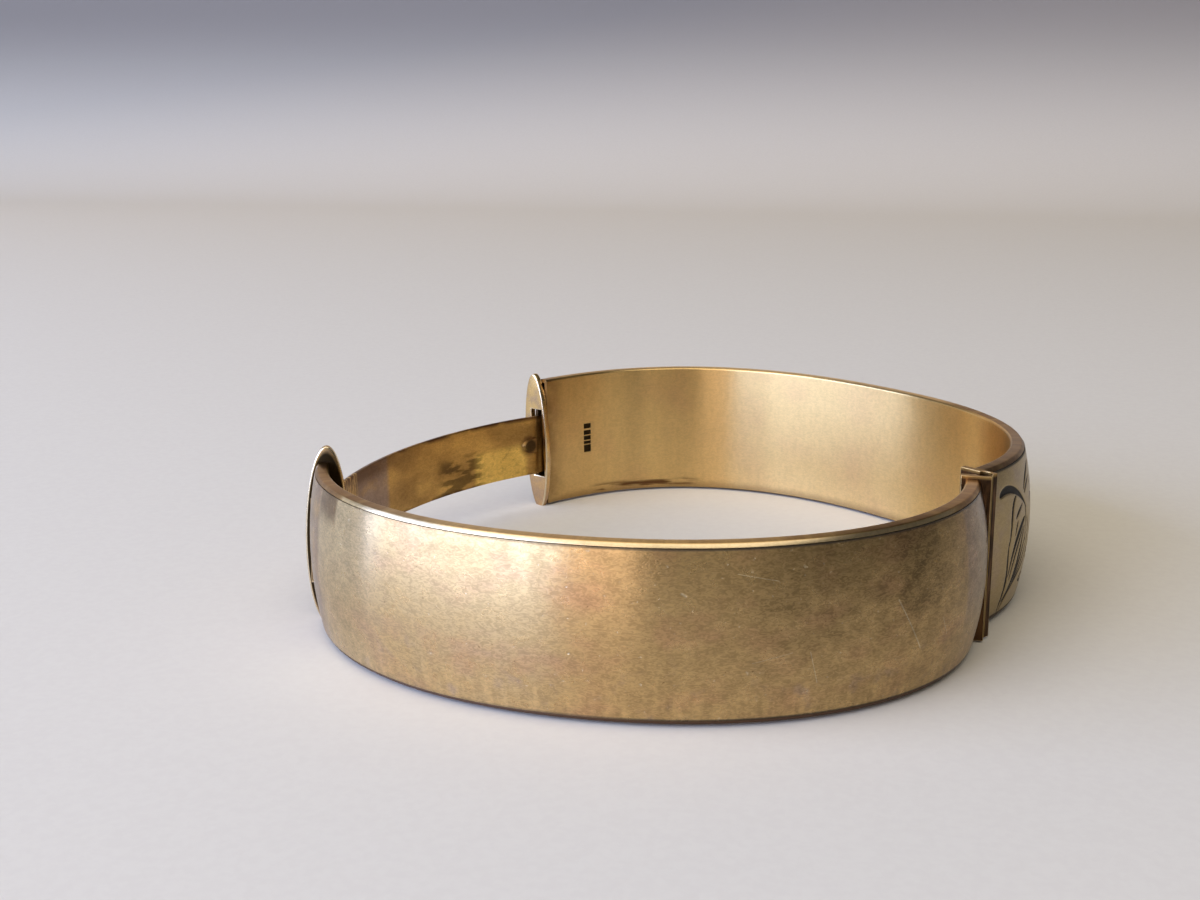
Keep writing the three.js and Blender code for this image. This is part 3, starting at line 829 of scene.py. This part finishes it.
def satin_lining(half, sizes, colours, length):
    """Rolled gold lining, satin from wear on the wrist, its turned-out edges browned by solder heat; shade
    and a highlight are painted on its edges.
    """
    engraved = half is ENGRAVED
    material, tree = new_finish(half.name + "_satin_lining")
    place, along, up, out, cut = on_bar(tree, "out", "cut")
    height = sizes.band_height / MM
    left = mask(tree, length, along, by="SUBTRACT")
    from_slide, from_hinge = (along, left) if engraved else (left, along)
    # Browned near the slide end's solder, with painted shade beside the slotted plate, and a scuff low down
    # where it rubbed on a slotted plate
    shade_and_stain_by_plate = mask(tree, (from_slide, 3.4, 0.0), blotches(tree, place, 2.5, 0.1, 0.6), 0.6)
    streaks = blotches(tree, place, 0.8, 0.38, 0.55, stretch=(0.12, 1.6, 1))
    scuff = mask(
        tree, *between(from_slide, 7.0, 20.5, 3.0), *between(up, 0.2, 1.15, 0.7), streaks,
        1.0 if engraved else 0.3,
    )
    # The wall is also darker towards its bottom edge
    wall_dirt_and_shade = mask(tree, shade_and_stain_by_plate, scuff, mask(tree, (up, 1.2, 0.1), 0.5), by="MAXIMUM")
    # The strip is browned towards the ends; the lower lip is painted darkest as shade, and the bevel above
    # is painted pale as a highlight except by the hinge
    if engraved:
        by_hinge = mask(tree, (from_hinge, 36.0, 26.0))
        browned = (by_hinge, 0.0, 1.0, 0.1, 0.95)
    else:
        by_hinge = mask(tree, (from_hinge, 13.0, 7.0), (from_slide, 12.6, 11.4), by="MAXIMUM")
        browned = mask(
            tree, (from_hinge, 34.0, 16.0, 0.5, 0.95), (from_slide, 26.0, 12.0, 0.5, 0.95), by="MAXIMUM"
        )
    strip = mask(tree, (out, 0.14, 0.24), mask(tree, (out, 1.2, 1.14), by_hinge, by="MAXIMUM"), browned)
    # Painted shade: the lower lip is painted dark, with less metal shine
    below = mask(tree, (out, 0.03, 0.1), (up, 1.0, 0.6))
    uneven = blotches(tree, place, 0.9, 0.25, 0.65, stretch=(0.5, 1, 1))
    base = layered(
        tree, colours.champagne,
        (colours.rose, blotches(tree, place, 8.0, 0.45, 0.75), 0.3),
        (colours.rim_brown, strip, (uneven, 0.0, 1.0, 0.6, 1.0)),
        (colours.brown_edge, mask(tree, below, wall_dirt_and_shade, by="MAXIMUM")),
        # Painted highlight: the upper bevel is painted pale, except by the hinge
        (colours.plate, (out, 1.16, 1.22), (up, height / 2, height / 2 + 1), (by_hinge, 1.0, 0.0), 0.6),
        (colours.oxide, below, 0.3),
        (colours.oxide, cut, 0.97),
    )
    fine = rubbing(tree, place)
    smears = mask(tree, blotches(tree, place, 1.2, 0.3, 0.8, stretch=(2, 0.6, 1)), 0.07)
    # The engraved half's lining is darker towards the hinge
    darker_towards_hinge = (from_hinge, 34.0, 12.0, 0.0, 0.34 if engraved else 0.0)
    light = mask(tree, (fine, 0.0, 1.0, 0.9, 1.0), smears, darker_towards_hinge, by="SUBTRACT")
    return finished(
        material, anisotropic=0.9,
        base_color=shade(tree, base, light),
        metallic=(below, 0.0, 1.0, 1.0, 0.5),
        roughness=(mask(tree, strip, below, by="MAXIMUM"), 0.0, 1.0, 0.3, 0.45),
        normal=relief(tree, waves(tree, place, 8.0), (fine, 0.002)),
    )


def polished_plate(colours):
    """Polished rolled gold plate: pale, peach lower down, and black on its hidden side."""
    material, tree = new_finish("polished_gold_plate")
    place, height, *kept = on_object(tree, *PLATE_VALUES)
    worn, hidden, out, up = kept
    from_middle = add(tree, "VectorMath", (add(tree, "CombineXYZ", (out, up)),), operation="LENGTH")
    # The hidden side is black inside a thin ring at its rim
    dirt = mask(tree, (hidden, 0.55, 0.8), (from_middle, 0.98, 0.91))
    base = layered(
        tree, colours.champagne,
        (colours.rose, (height, 7.0, 2.5), 0.45),
        (colours.tarnish, blotches(tree, place, 1.3, 0.42, 0.7, detail=4.0), 0.5),
        (colours.oxide, dirt, 0.95),
        (colours.plate, worn),
    )
    fine = blotches(tree, place, 0.22, 0.3, 0.7, detail=2.0, distortion=1.5)
    return finished(
        material,
        base_color=shade(tree, base, (fine, 0.0, 1.0, 0.88, 1.0)),
        roughness=(dirt, 0.0, 1.0, 0.26, 0.5),
        normal=relief(tree, (fine, 0.003)),
    )


def oxidised_brass(colours):
    """Brass browned in upright streaks by solder heat and old dirt, its corners rubbed bright."""
    material, tree = new_finish("oxidised_hinge_brass")
    place, height, worn = on_object(tree, "worn")
    streaks = blotches(tree, place, 0.9, 0.3, 0.7, stretch=(1.5, 1.5, 0.3))
    base = layered(
        tree, colours.brown_edge,
        (colours.oxide, (streaks, 0.0, 1.0, 0.35, 0.85)),
        (colours.spring_brass, (height, 16.0, 16.35), 0.45),
        (colours.champagne, worn, 0.8),
    )
    return finished(
        material,
        base_color=base,
        roughness=(streaks, 0.0, 1.0, 0.3, 0.5),
        normal=relief(tree, (streaks, 0.008)),
    )


def tarnished_spring(sizes, colours, length):
    """Rolled spring brass gone ochre, rubbed bright near the slot, with dark smudges and stains."""
    material, tree = new_finish("tarnished_spring_brass")
    place, along, up = on_bar(tree)
    cloud = blotches(tree, place, 3.5, 0.3, 0.7, stretch=(0.6, 1, 1))
    edges = mask(tree, (up, 0.6, 0.0), (up, 6.4, 7.1), by="MAXIMUM")
    ragged = mask(tree, edges, blotches(tree, place, 1.6, 0.3, 0.6, stretch=(0.5, 1, 1)))
    stop_along = length - (TONGUE_IN_ENGRAVED_HALF + sizes.plate_thickness + STOP_FROM_PLATE) / MM - 0.9
    stop = (stop_along, (STOP_MIDDLE - TONGUE_BOTTOM) / MM, 0)
    from_stop = add(tree, "VectorMath", (place, stop), operation="DISTANCE")
    base = layered(
        tree, colours.spring_brass,
        (colours.brown_edge, mask(tree, mask(tree, cloud, 0.5), ragged, by="MAXIMUM")),
        # Rubbed bright beside the slot, and smudged beyond that
        (colours.bright_brass, *between(along, length - 15.5, length - 7.7, 0.9), (up, 4.4, 3.3),
         blotches(tree, place, 1.2, 0.2, 0.5), 0.8),
        (colours.oxide, *between(along, length - 21.5, length - 14.5, 2.0), (up, 4.8, 3.4),
         blotches(tree, place, 1.3, 0.42, 0.55, stretch=(0.4, 1.5, 1)), 0.6),
        # Lilac tarnish and a dark upper edge towards the plain half
        (colours.tarnish, *between(along, 19.6, 27.2, 1.0), blotches(tree, place, 2.0, 0.1, 0.5), 0.75),
        (colours.brown_edge, (along, 36.0, 22.0), (up, 5.0, 6.4), 0.8),
        # The stop and the tongue round it are darkened, most at the stop
        (colours.brown_edge, (from_stop, 1.6, 0.9), 0.7),
        (colours.oxide, (from_stop, 0.95, 0.6), 0.75),
        # Bright scratches, upright and close together
        (colours.champagne, *between(along, 16.5, 20.0, 0.6), (up, 4.2, 5.0),
         blotches(tree, place, 0.5, 0.45, 0.55, stretch=(2, 0.4, 1)), 0.85),
    )
    fine = rubbing(tree, place)
    return finished(
        material, anisotropic=0.5,
        base_color=shade(tree, base, (fine, 0.0, 1.0, 0.82, 1.0)),
        roughness=(cloud, 0.0, 1.0, 0.32, 0.45),
        normal=relief(tree, waves(tree, place, 5.0), (fine, 0.003)),
    )


def plain_surface(colours):
    """Matt painted board: even and pale, with a faint tooth, and darker up its back."""
    material, tree = new_finish("matt_pale_board")
    place, height = on_object(tree)
    base = layered(
        tree, colours.surface,
        (colours.tarnish, blotches(tree, place, 0.8, 0.3, 0.7), 0.05),
        (colours.back, (height, 2.0, 90.0)),
    )
    return finished(material, base_color=base, metallic=0.0, roughness=0.85)


# ---- operators ----------------------------------------------------------------------------------


class BANGLE_OT_linings(bpy.types.Operator):
    """Builds both halves' linings: an inner wall with turned-out, bevelled edges"""

    bl_idname = "bangle.linings"
    bl_label = "Linings"

    def execute(self, context):
        sizes, colours = context.scene.bangle_sizes, context.scene.bangle_colours
        rows = [row * MM for mark in PUNCH_MARKS for row in mark]
        for half in (PLAIN, ENGRAVED):
            bm = bmesh.new()
            bm.verts.layers.float.new("cut")
            if half is ENGRAVED:
                frames, length = half_line(half, PUNCHED_STATION)
                sweep(bm, lining_outline(sizes, rows), frames)
                self.punch(bm)
            else:
                frames, length = half_line(half, STATION)
                sweep(bm, lining_outline(sizes), drawn_in(frames, sizes.slide_end_thinning))
            half_piece(half, "lining", bm, satin_lining(half, sizes, colours, length / MM), even=True)
        return {"FINISHED"}

    def punch(self, bm):
        """Sinks the column of small blank punch marks into the inner wall."""
        along, up, out, cut = (bm.verts.layers.float[name] for name in ("along", "up", "out", "cut"))
        wall = [face for face in bm.faces if max(vert[out] for vert in face.verts) < TOUCHING / MM]
        for low, high in PUNCH_MARKS:
            struck = []
            for face in wall:
                mid_along, mid_up = (
                    sum(vert[way] for vert in face.verts) / len(face.verts) for way in (along, up)
                )
                if PUNCH_ALONG[0] < mid_along < PUNCH_ALONG[1] and low < mid_up < high:
                    struck.append(face)
            bmesh.ops.inset_region(
                bm, faces=struck, thickness=PUNCH_FLANK, depth=-PUNCH_DEPTH, use_even_offset=True
            )
            for vert in {vert for face in struck for vert in face.verts}:
                vert[cut] = 1


class BANGLE_OT_plain_dome(bpy.types.Operator):
    """Builds the plain half's domed outer sheet"""

    bl_idname = "bangle.plain_dome"
    bl_label = "Plain dome"

    def execute(self, context):
        sizes, colours = context.scene.bangle_sizes, context.scene.bangle_colours
        frames, length = half_line(PLAIN, STATION)
        bm = dome_bar(sizes, drawn_in(frames, sizes.slide_end_thinning), PLAIN_DOME_STEPS)
        half_piece(PLAIN, "dome", bm, worn_rolled_gold(sizes, colours, length / MM))
        return {"FINISHED"}


class BANGLE_OT_engraved_dome(bpy.types.Operator):
    """Builds the engraved half's domed outer sheet and cuts its scrolls"""

    bl_idname = "bangle.engraved_dome"
    bl_label = "Engraved dome"

    def execute(self, context):
        sizes, colours = context.scene.bangle_sizes, context.scene.bangle_colours
        frames, length = half_line(ENGRAVED, ENGRAVED_STATION)
        bm = dome_bar(sizes, frames, ENGRAVED_DOME_STEPS)
        engrave(bm, sizes, length)
        half_piece(ENGRAVED, "dome", bm, engraved_gold(sizes, colours), sharp=60)
        return {"FINISHED"}


def thickened(bm, thickness, rounding, segments):
    """Gives a flat drawing its thickness upwards, bevels its corners and marks them as worn."""
    drawn = bmesh.ops.extrude_face_region(bm, geom=list(bm.faces))["geom"]
    raised = [item for item in drawn if isinstance(item, bmesh.types.BMVert)]
    bmesh.ops.translate(bm, vec=(0, 0, thickness), verts=raised)
    bmesh.ops.recalc_face_normals(bm, faces=bm.faces)
    made = rounded_off(bm, corner_edges(bm), rounding, segments)
    rounded = set(made["faces"])
    worn = bm.verts.layers.float["worn"]
    for vert in made["verts"]:
        vert[worn] = all(face in rounded for face in vert.link_faces)


def corner_edges(bm):
    """The edges that turn by more than a radian."""
    return [edge for edge in bm.edges if edge.calc_face_angle(0) > 1]


class BANGLE_OT_slide_plates(bpy.types.Operator):
    """Builds the two upright slotted plates at the slide side"""

    bl_idname = "bangle.slide_plates"
    bl_label = "Slide plates"

    def execute(self, context):
        sizes, colours = context.scene.bangle_sizes, context.scene.bangle_colours
        finish = polished_plate(colours)
        thick = sizes.plate_thickness
        upright = Matrix(((0, 0, 1), (1, 0, 0), (0, 1, 0))).to_4x4()
        for half in (PLAIN, ENGRAVED):
            plate = half.slide_plate
            height = plate.below + sizes.band_height + plate.above
            bm = bmesh.new()
            _, hidden, out, up = [bm.verts.layers.float.new(name) for name in PLATE_VALUES]
            self.draw_plate(bm, plate, sizes, height)
            thickened(bm, thick, SLIDE_PLATE_ROUNDING, 4)
            for vert in bm.verts:
                share = vert.co.z / thick
                vert[hidden] = share if half is ENGRAVED else 1 - share
                vert[out], vert[up] = 2 * vert.co.x / plate.width, 2 * vert.co.y / height
            # The plate stands past the band's slide end, which is the engraved half's first station
            frames, _ = half_line(half, FINE_STATION)
            end, start = (frames[0], -thick) if half is ENGRAVED else (frames[-1], 0)
            middle = Vector((start, sizes.crown / 2 + plate.outward, height / 2 - plate.below))
            place = end @ Matrix.Translation(middle) @ Matrix.Rotation(-plate.lean, 4, "X") @ upright
            bmesh.ops.transform(bm, matrix=place, verts=bm.verts)
            half_piece(half, "slide_plate", bm, finish, even=True)
        return {"FINISHED"}

    def draw_plate(self, bm, plate, sizes, height):
        """Draws an oval with a slot in it, with the band's outward way as x and its up as y."""
        rim = bmesh.ops.create_circle(bm, cap_ends=False, radius=0.5, segments=96)["verts"]
        slot = bmesh.ops.create_grid(bm, x_segments=1, y_segments=1, size=0.5)["verts"]
        slot_out = SLOT_OUT - sizes.crown / 2 - plate.outward
        slot_up = SLOT_BOTTOM + SLOT_HEIGHT / 2 - (height / 2 - plate.below)
        bmesh.ops.scale(bm, vec=(plate.width, height, 1), verts=rim)
        bmesh.ops.scale(bm, vec=(SLOT_WIDTH, SLOT_HEIGHT, 1), verts=slot)
        bmesh.ops.translate(bm, vec=(slot_out, slot_up, 0), verts=slot)
        bmesh.ops.delete(bm, geom=list(bm.faces), context="FACES_ONLY")
        bmesh.ops.triangle_fill(bm, edges=bm.edges, use_beauty=True)


class BANGLE_OT_hinge(bpy.types.Operator):
    """Builds the hinge: an end plate on each half, three knuckles and the pin"""

    bl_idname = "bangle.hinge"
    bl_label = "Hinge"

    def execute(self, context):
        sizes, colours = context.scene.bangle_sizes, context.scene.bangle_colours
        finish = oxidised_brass(colours)
        # Three knuckles, numbered from below: the plain half has the outer two
        tall = (sizes.band_height - 2 * KNUCKLE_END_INSET - 2 * KNUCKLE_GAP) / 3
        for half, side, own in ((PLAIN, -1, (0, 2)), (ENGRAVED, 1, (1,))):
            bm = bmesh.new()
            bm.verts.layers.float.new("worn")
            inner_x = half.oval.centre_x + half.oval.half_length - HINGE_PLATE_INSIDE
            self.draw_end_plate(bm, side, inner_x)
            plate_height = HINGE_PLATE_BELOW + sizes.band_height + HINGE_PLATE_ABOVE
            thickened(bm, plate_height, HINGE_PLATE_ROUNDING, 2)
            bmesh.ops.translate(bm, vec=-HINGE_PLATE_BELOW * UP, verts=bm.verts)
            bmesh.ops.transform(bm, matrix=half.place, verts=bm.verts)
            half_piece(half, "hinge_plate", bm, finish, even=True)
            bm = bmesh.new()
            for number in own:
                bottom = KNUCKLE_END_INSET + number * (tall + KNUCKLE_GAP)
                self.upright_rod(bm, KNUCKLE_RADIUS, bottom, bottom + tall)
                tab = bmesh.ops.create_cube(bm, size=1)["verts"]
                bmesh.ops.scale(bm, vec=(KNUCKLE_TAB, KNUCKLE_TAB, tall), verts=tab)
                aside = PIN_ON_DRAWING + Vector((0, side * KNUCKLE_TAB_FROM_PIN, bottom + tall / 2))
                bmesh.ops.translate(bm, vec=aside, verts=tab)
            bmesh.ops.transform(bm, matrix=half.place, verts=bm.verts)
            half_piece(half, "knuckles", bm, finish)
        bm = bmesh.new()
        self.upright_rod(bm, PIN_RADIUS, PIN_LOW.z - BAND_BOTTOM, PIN_HIGH.z - BAND_BOTTOM)
        rounded_off(bm, corner_edges(bm), PIN_ROUNDING, 3)
        bmesh.ops.transform(bm, matrix=PLAIN_PLACE, verts=bm.verts)
        make_piece("hinge_rivet", bm, finish, "pin_brass", "hinge_pin", PLAIN_BODY)
        return {"FINISHED"}

    def draw_end_plate(self, bm, side, inner_x):
        """Draws the plan of an end plate, with the groove that clears the knuckles."""
        near = PIN_ON_DRAWING.y + side * HINGE_GAP / 2
        far = near + side * HINGE_PLATE_THICKNESS
        reach = math.acos(HINGE_GAP / 2 / KNUCKLE_ROOM)
        groove = [
            PIN_ON_DRAWING + KNUCKLE_ROOM * Vector((math.sin(a), side * math.cos(a), 0))
            for a in np.linspace(-reach, reach, 9)
        ]
        corners = [(inner_x, far, 0), (inner_x, near, 0), *groove]
        corners += [(HINGE_PLATE_OUTER_X, near, 0), (HINGE_PLATE_OUTER_X, far, 0)]
        bm.faces.new([bm.verts.new(corner) for corner in corners])

    def upright_rod(self, bm, radius, bottom, top):
        rod = bmesh.ops.create_cone(
            bm, cap_ends=True, segments=40, radius1=radius, radius2=radius, depth=top - bottom
        )["verts"]
        bmesh.ops.translate(bm, vec=PIN_ON_DRAWING + UP * (bottom + top) / 2, verts=rod)


def smooth_line(points, steps):
    """A smooth curve through points, which passes each one along the line of its neighbours."""
    ends = [2 * points[0] - points[1], *points, 2 * points[-1] - points[-2]]
    line = []
    for a, b, c, d in zip(ends, ends[1:], ends[2:], ends[3:]):
        reach = (c - b).length
        leave, arrive = (c - a).normalized() * reach, (d - b).normalized() * reach
        for t in np.linspace(0, 1, steps, endpoint=False):
            line.append(
                b * (2 * t**3 - 3 * t**2 + 1) + leave * (t**3 - 2 * t**2 + t)
                + c * (3 * t**2 - 2 * t**3) + arrive * (t**3 - t**2)
            )
    return [*line, points[-1]]


class BANGLE_OT_tongue(bpy.types.Operator):
    """Builds the spring tongue, which bends between the halves, with its half-round stop"""

    bl_idname = "bangle.tongue"
    bl_label = "Tongue"

    def execute(self, context):
        sizes, colours = context.scene.bangle_sizes, context.scene.bangle_colours
        route, length, start, finish = self.route(sizes)
        frames = frames_on(route)
        half, top = sizes.tongue_thickness / 2, TONGUE_BOTTOM + TONGUE_HEIGHT
        corners = [(-half, TONGUE_BOTTOM), (half, TONGUE_BOTTOM), (half, top), (-half, top)]
        bm = bmesh.new()
        sweep(bm, rounded_outline(corners, dict.fromkeys(range(4), TONGUE_ROUNDING)), frames)
        up = bm.verts.layers.float["up"]
        for vert in bm.verts:
            vert[up] -= TONGUE_BOTTOM / MM
        self.add_stop(bm, sizes, frames, length)
        spring = tarnished_spring(sizes, colours, length / MM)
        piece = make_piece("spring_tongue", bm, spring, "spring_brass", "tongue", even=True)
        spare = (finish - start) * TONGUE_BLEND_SPARE
        start, finish = start - spare, finish + spare
        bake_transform(piece, PLAIN_BODY, ENGRAVED_BODY, start=tuple(start), end=tuple(finish))
        return {"FINISHED"}

    def route(self, sizes):
        """The tongue's middle line: inside the plain half, on a free arc, and inside the other half."""
        plain, engraved = (half_line(half, FINE_STATION)[0] for half in (PLAIN, ENGRAVED))
        half_plate = sizes.plate_thickness / 2
        start = plain[-1] @ Vector((half_plate, SLOT_OUT, 0))
        finish = engraved[0] @ Vector((-half_plate, SLOT_OUT, 0))
        heading = plain[-1].to_3x3() @ Vector((1, 0, 0))
        heading.rotate(Matrix.Rotation(-TONGUE_TURN_AT_PLATE, 3, "Z"))
        chord = finish - start
        turn = 2 * heading.angle(chord)
        centre = start + heading.cross(UP) * chord.length / (2 * math.sin(turn / 2))
        arc = [
            centre + Matrix.Rotation(-turn * share, 3, "Z") @ (start - centre)
            for share in np.linspace(0, 1, 8)
        ]
        inside = Vector((0, SLOT_OUT, 0))
        in_plain = TONGUE_IN_PLAIN_HALF / FINE_STATION
        in_engraved = TONGUE_IN_ENGRAVED_HALF / FINE_STATION
        before = [plain[-1 - round(in_plain * share)] @ inside for share in (1, 0.5)]
        after = [engraved[round(in_engraved * share)] @ inside for share in (0.5, 1)]
        line = smooth_line([Vector((p.x, p.y, BAND_BOTTOM)) for p in before + arc + after], 24)
        return *even_steps(np.array(line), TONGUE_STATION), start, finish

    def add_stop(self, bm, sizes, frames, length):
        """Raises the stop on the inner face: a half disc, straight towards the engraved half."""
        from_end = TONGUE_IN_ENGRAVED_HALF + sizes.plate_thickness + STOP_FROM_PLATE
        station = round((1 - from_end / length) * (len(frames) - 1))
        disc = bmesh.ops.create_cone(
            bm, cap_ends=True, segments=32, depth=STOP_HEIGHT,
            radius1=STOP_LENGTH / 2, radius2=STOP_LENGTH / 2 * STOP_TAPER,
        )["verts"]
        edges, faces = {e for v in disc for e in v.link_edges}, {f for v in disc for f in v.link_faces}
        cut = bmesh.ops.bisect_plane(
            bm, geom=[*disc, *edges, *faces], plane_co=(0, 0, 0), plane_no=(1, 0, 0), clear_outer=True
        )["geom_cut"]
        rim = [item for item in cut if isinstance(item, bmesh.types.BMEdge)]
        bmesh.ops.edgeloop_fill(bm, edges=rim)
        made = {item for item in cut if isinstance(item, bmesh.types.BMVert)}
        disc = made | {vert for vert in disc if vert.is_valid}
        floats = bm.verts.layers.float
        for vert in disc:
            vert.co.x *= 2  # the half that is left is drawn out to the stop's whole length
            vert[floats["along"]] = (length - from_end + vert.co.x) / MM
            vert[floats["up"]] = (STOP_MIDDLE - TONGUE_BOTTOM + vert.co.y) / MM
        facing = Matrix(((1, 0, 0), (0, 0, -1), (0, 1, 0))).to_4x4()
        raised = -(sizes.tongue_thickness + STOP_HEIGHT) / 2 + STOP_SUNK
        place = frames[station] @ Matrix.Translation((0, raised, STOP_MIDDLE)) @ facing
        bmesh.ops.transform(bm, matrix=place, verts=list(disc))


class BANGLE_OT_stage(bpy.types.Operator):
    """Adds the plain surface with its curved back, soft lights and the camera"""

    bl_idname = "bangle.stage"
    bl_label = "Stage"

    def execute(self, context):
        scene = context.scene
        scene.view_settings.view_transform = "Standard"
        self.add_surface(scene)
        self.add_world(scene)
        for panel in SOFTBOXES:
            self.add_softbox(scene, *panel)
        self.add_camera(scene)
        return {"FINISHED"}

    def add_surface(self, scene):
        bm = bmesh.new()
        made = bmesh.ops.create_grid(bm, x_segments=1, y_segments=1, size=SURFACE_REACH)["verts"]
        bmesh.ops.translate(bm, vec=(0, SURFACE_MIDDLE_Y, SINK), verts=made)
        back_y = SURFACE_MIDDLE_Y + SURFACE_REACH
        back = [edge for edge in bm.edges if all(vert.co.y > back_y - MM for vert in edge.verts)]
        bmesh.ops.spin(
            bm, geom=back, cent=(0, back_y, SINK + BACK_RADIUS), axis=(1, 0, 0), angle=BACK_ANGLE,
            steps=24, use_duplicate=False,
        )
        mesh = smooth_mesh("surface", bm, plain_surface(scene.bangle_colours))
        surface = bpy.data.objects.new("surface", mesh)
        scene.collection.objects.link(surface)

    def add_world(self, scene):
        scene.world = bpy.data.worlds.new("studio")
        scene.world.use_nodes = True
        background = scene.world.node_tree.nodes["Background"]
        background.inputs["Color"].default_value = (*linear(WORLD_TINT), 1)
        background.inputs["Strength"].default_value = WORLD_STRENGTH

    def add_softbox(self, scene, name, heading, height, distance, across, tall, glow, tint):
        """A soft panel that faces the bangle from a heading and a height in degrees."""
        light = bpy.data.lights.new(name, "AREA")
        light.shape = "RECTANGLE"
        light.size, light.size_y = across, tall
        light.energy = glow * math.pi * across * tall
        light.color = linear(tint)
        holder = bpy.data.objects.new(name, light)
        toward = Vector((1, 0, 0))
        toward.rotate(Matrix.Rotation(-math.radians(height), 3, "Y"))
        toward.rotate(Matrix.Rotation(math.radians(heading), 3, "Z"))
        holder.location = toward * distance
        holder.rotation_euler = (-toward).to_track_quat("-Z", "Y").to_euler()
        scene.collection.objects.link(holder)

    def add_camera(self, scene):
        camera = bpy.data.objects.new("camera", bpy.data.cameras.new("camera"))
        camera.data.sensor_width = 36
        camera.data.lens = CAMERA_LENS
        camera.data.clip_start, camera.data.clip_end = 0.01, 10
        turn = (
            Matrix.Rotation(CAMERA_HEADING, 4, "Z")
            @ Matrix.Rotation(math.pi / 2 - CAMERA_PITCH, 4, "X")
            @ Matrix.Rotation(-CAMERA_ROLL, 4, "Z")
        )
        camera.matrix_world = Matrix.Translation(PLAIN_PLACE @ CAMERA_ON_DRAWING) @ turn
        scene.collection.objects.link(camera)
        scene.camera = camera


class BANGLE_PT_panel(bpy.types.Panel):
    """Lists the bangle's sizes, colours and pieces"""

    bl_label = "Bangle"
    bl_idname = "BANGLE_PT_panel"
    bl_space_type = "VIEW_3D"
    bl_region_type = "UI"
    bl_category = "Bangle"

    def draw(self, context):
        for group in (context.scene.bangle_sizes, context.scene.bangle_colours):
            box = self.layout.box()
            for name in group.__annotations__:
                box.prop(group, name)
        for operator in OPERATORS:
            self.layout.operator(operator.bl_idname)


OPERATORS = (
    BANGLE_OT_linings,
    BANGLE_OT_plain_dome,
    BANGLE_OT_engraved_dome,
    BANGLE_OT_slide_plates,
    BANGLE_OT_hinge,
    BANGLE_OT_tongue,
    BANGLE_OT_stage,
)
CLASSES = (BangleSizes, BangleColours, *OPERATORS, BANGLE_PT_panel)


def register():
    for cls in CLASSES:
        bpy.utils.register_class(cls)
    bpy.types.Scene.bangle_sizes = PointerProperty(type=BangleSizes)
    bpy.types.Scene.bangle_colours = PointerProperty(type=BangleColours)


def unregister():
    del bpy.types.Scene.bangle_colours
    del bpy.types.Scene.bangle_sizes
    for cls in reversed(CLASSES):
        bpy.utils.unregister_class(cls)


def main():
    register()
    for operator in OPERATORS:
        group, name = operator.bl_idname.split(".")
        getattr(getattr(bpy.ops, group), name)()


if __name__ == "__main__":
    main()
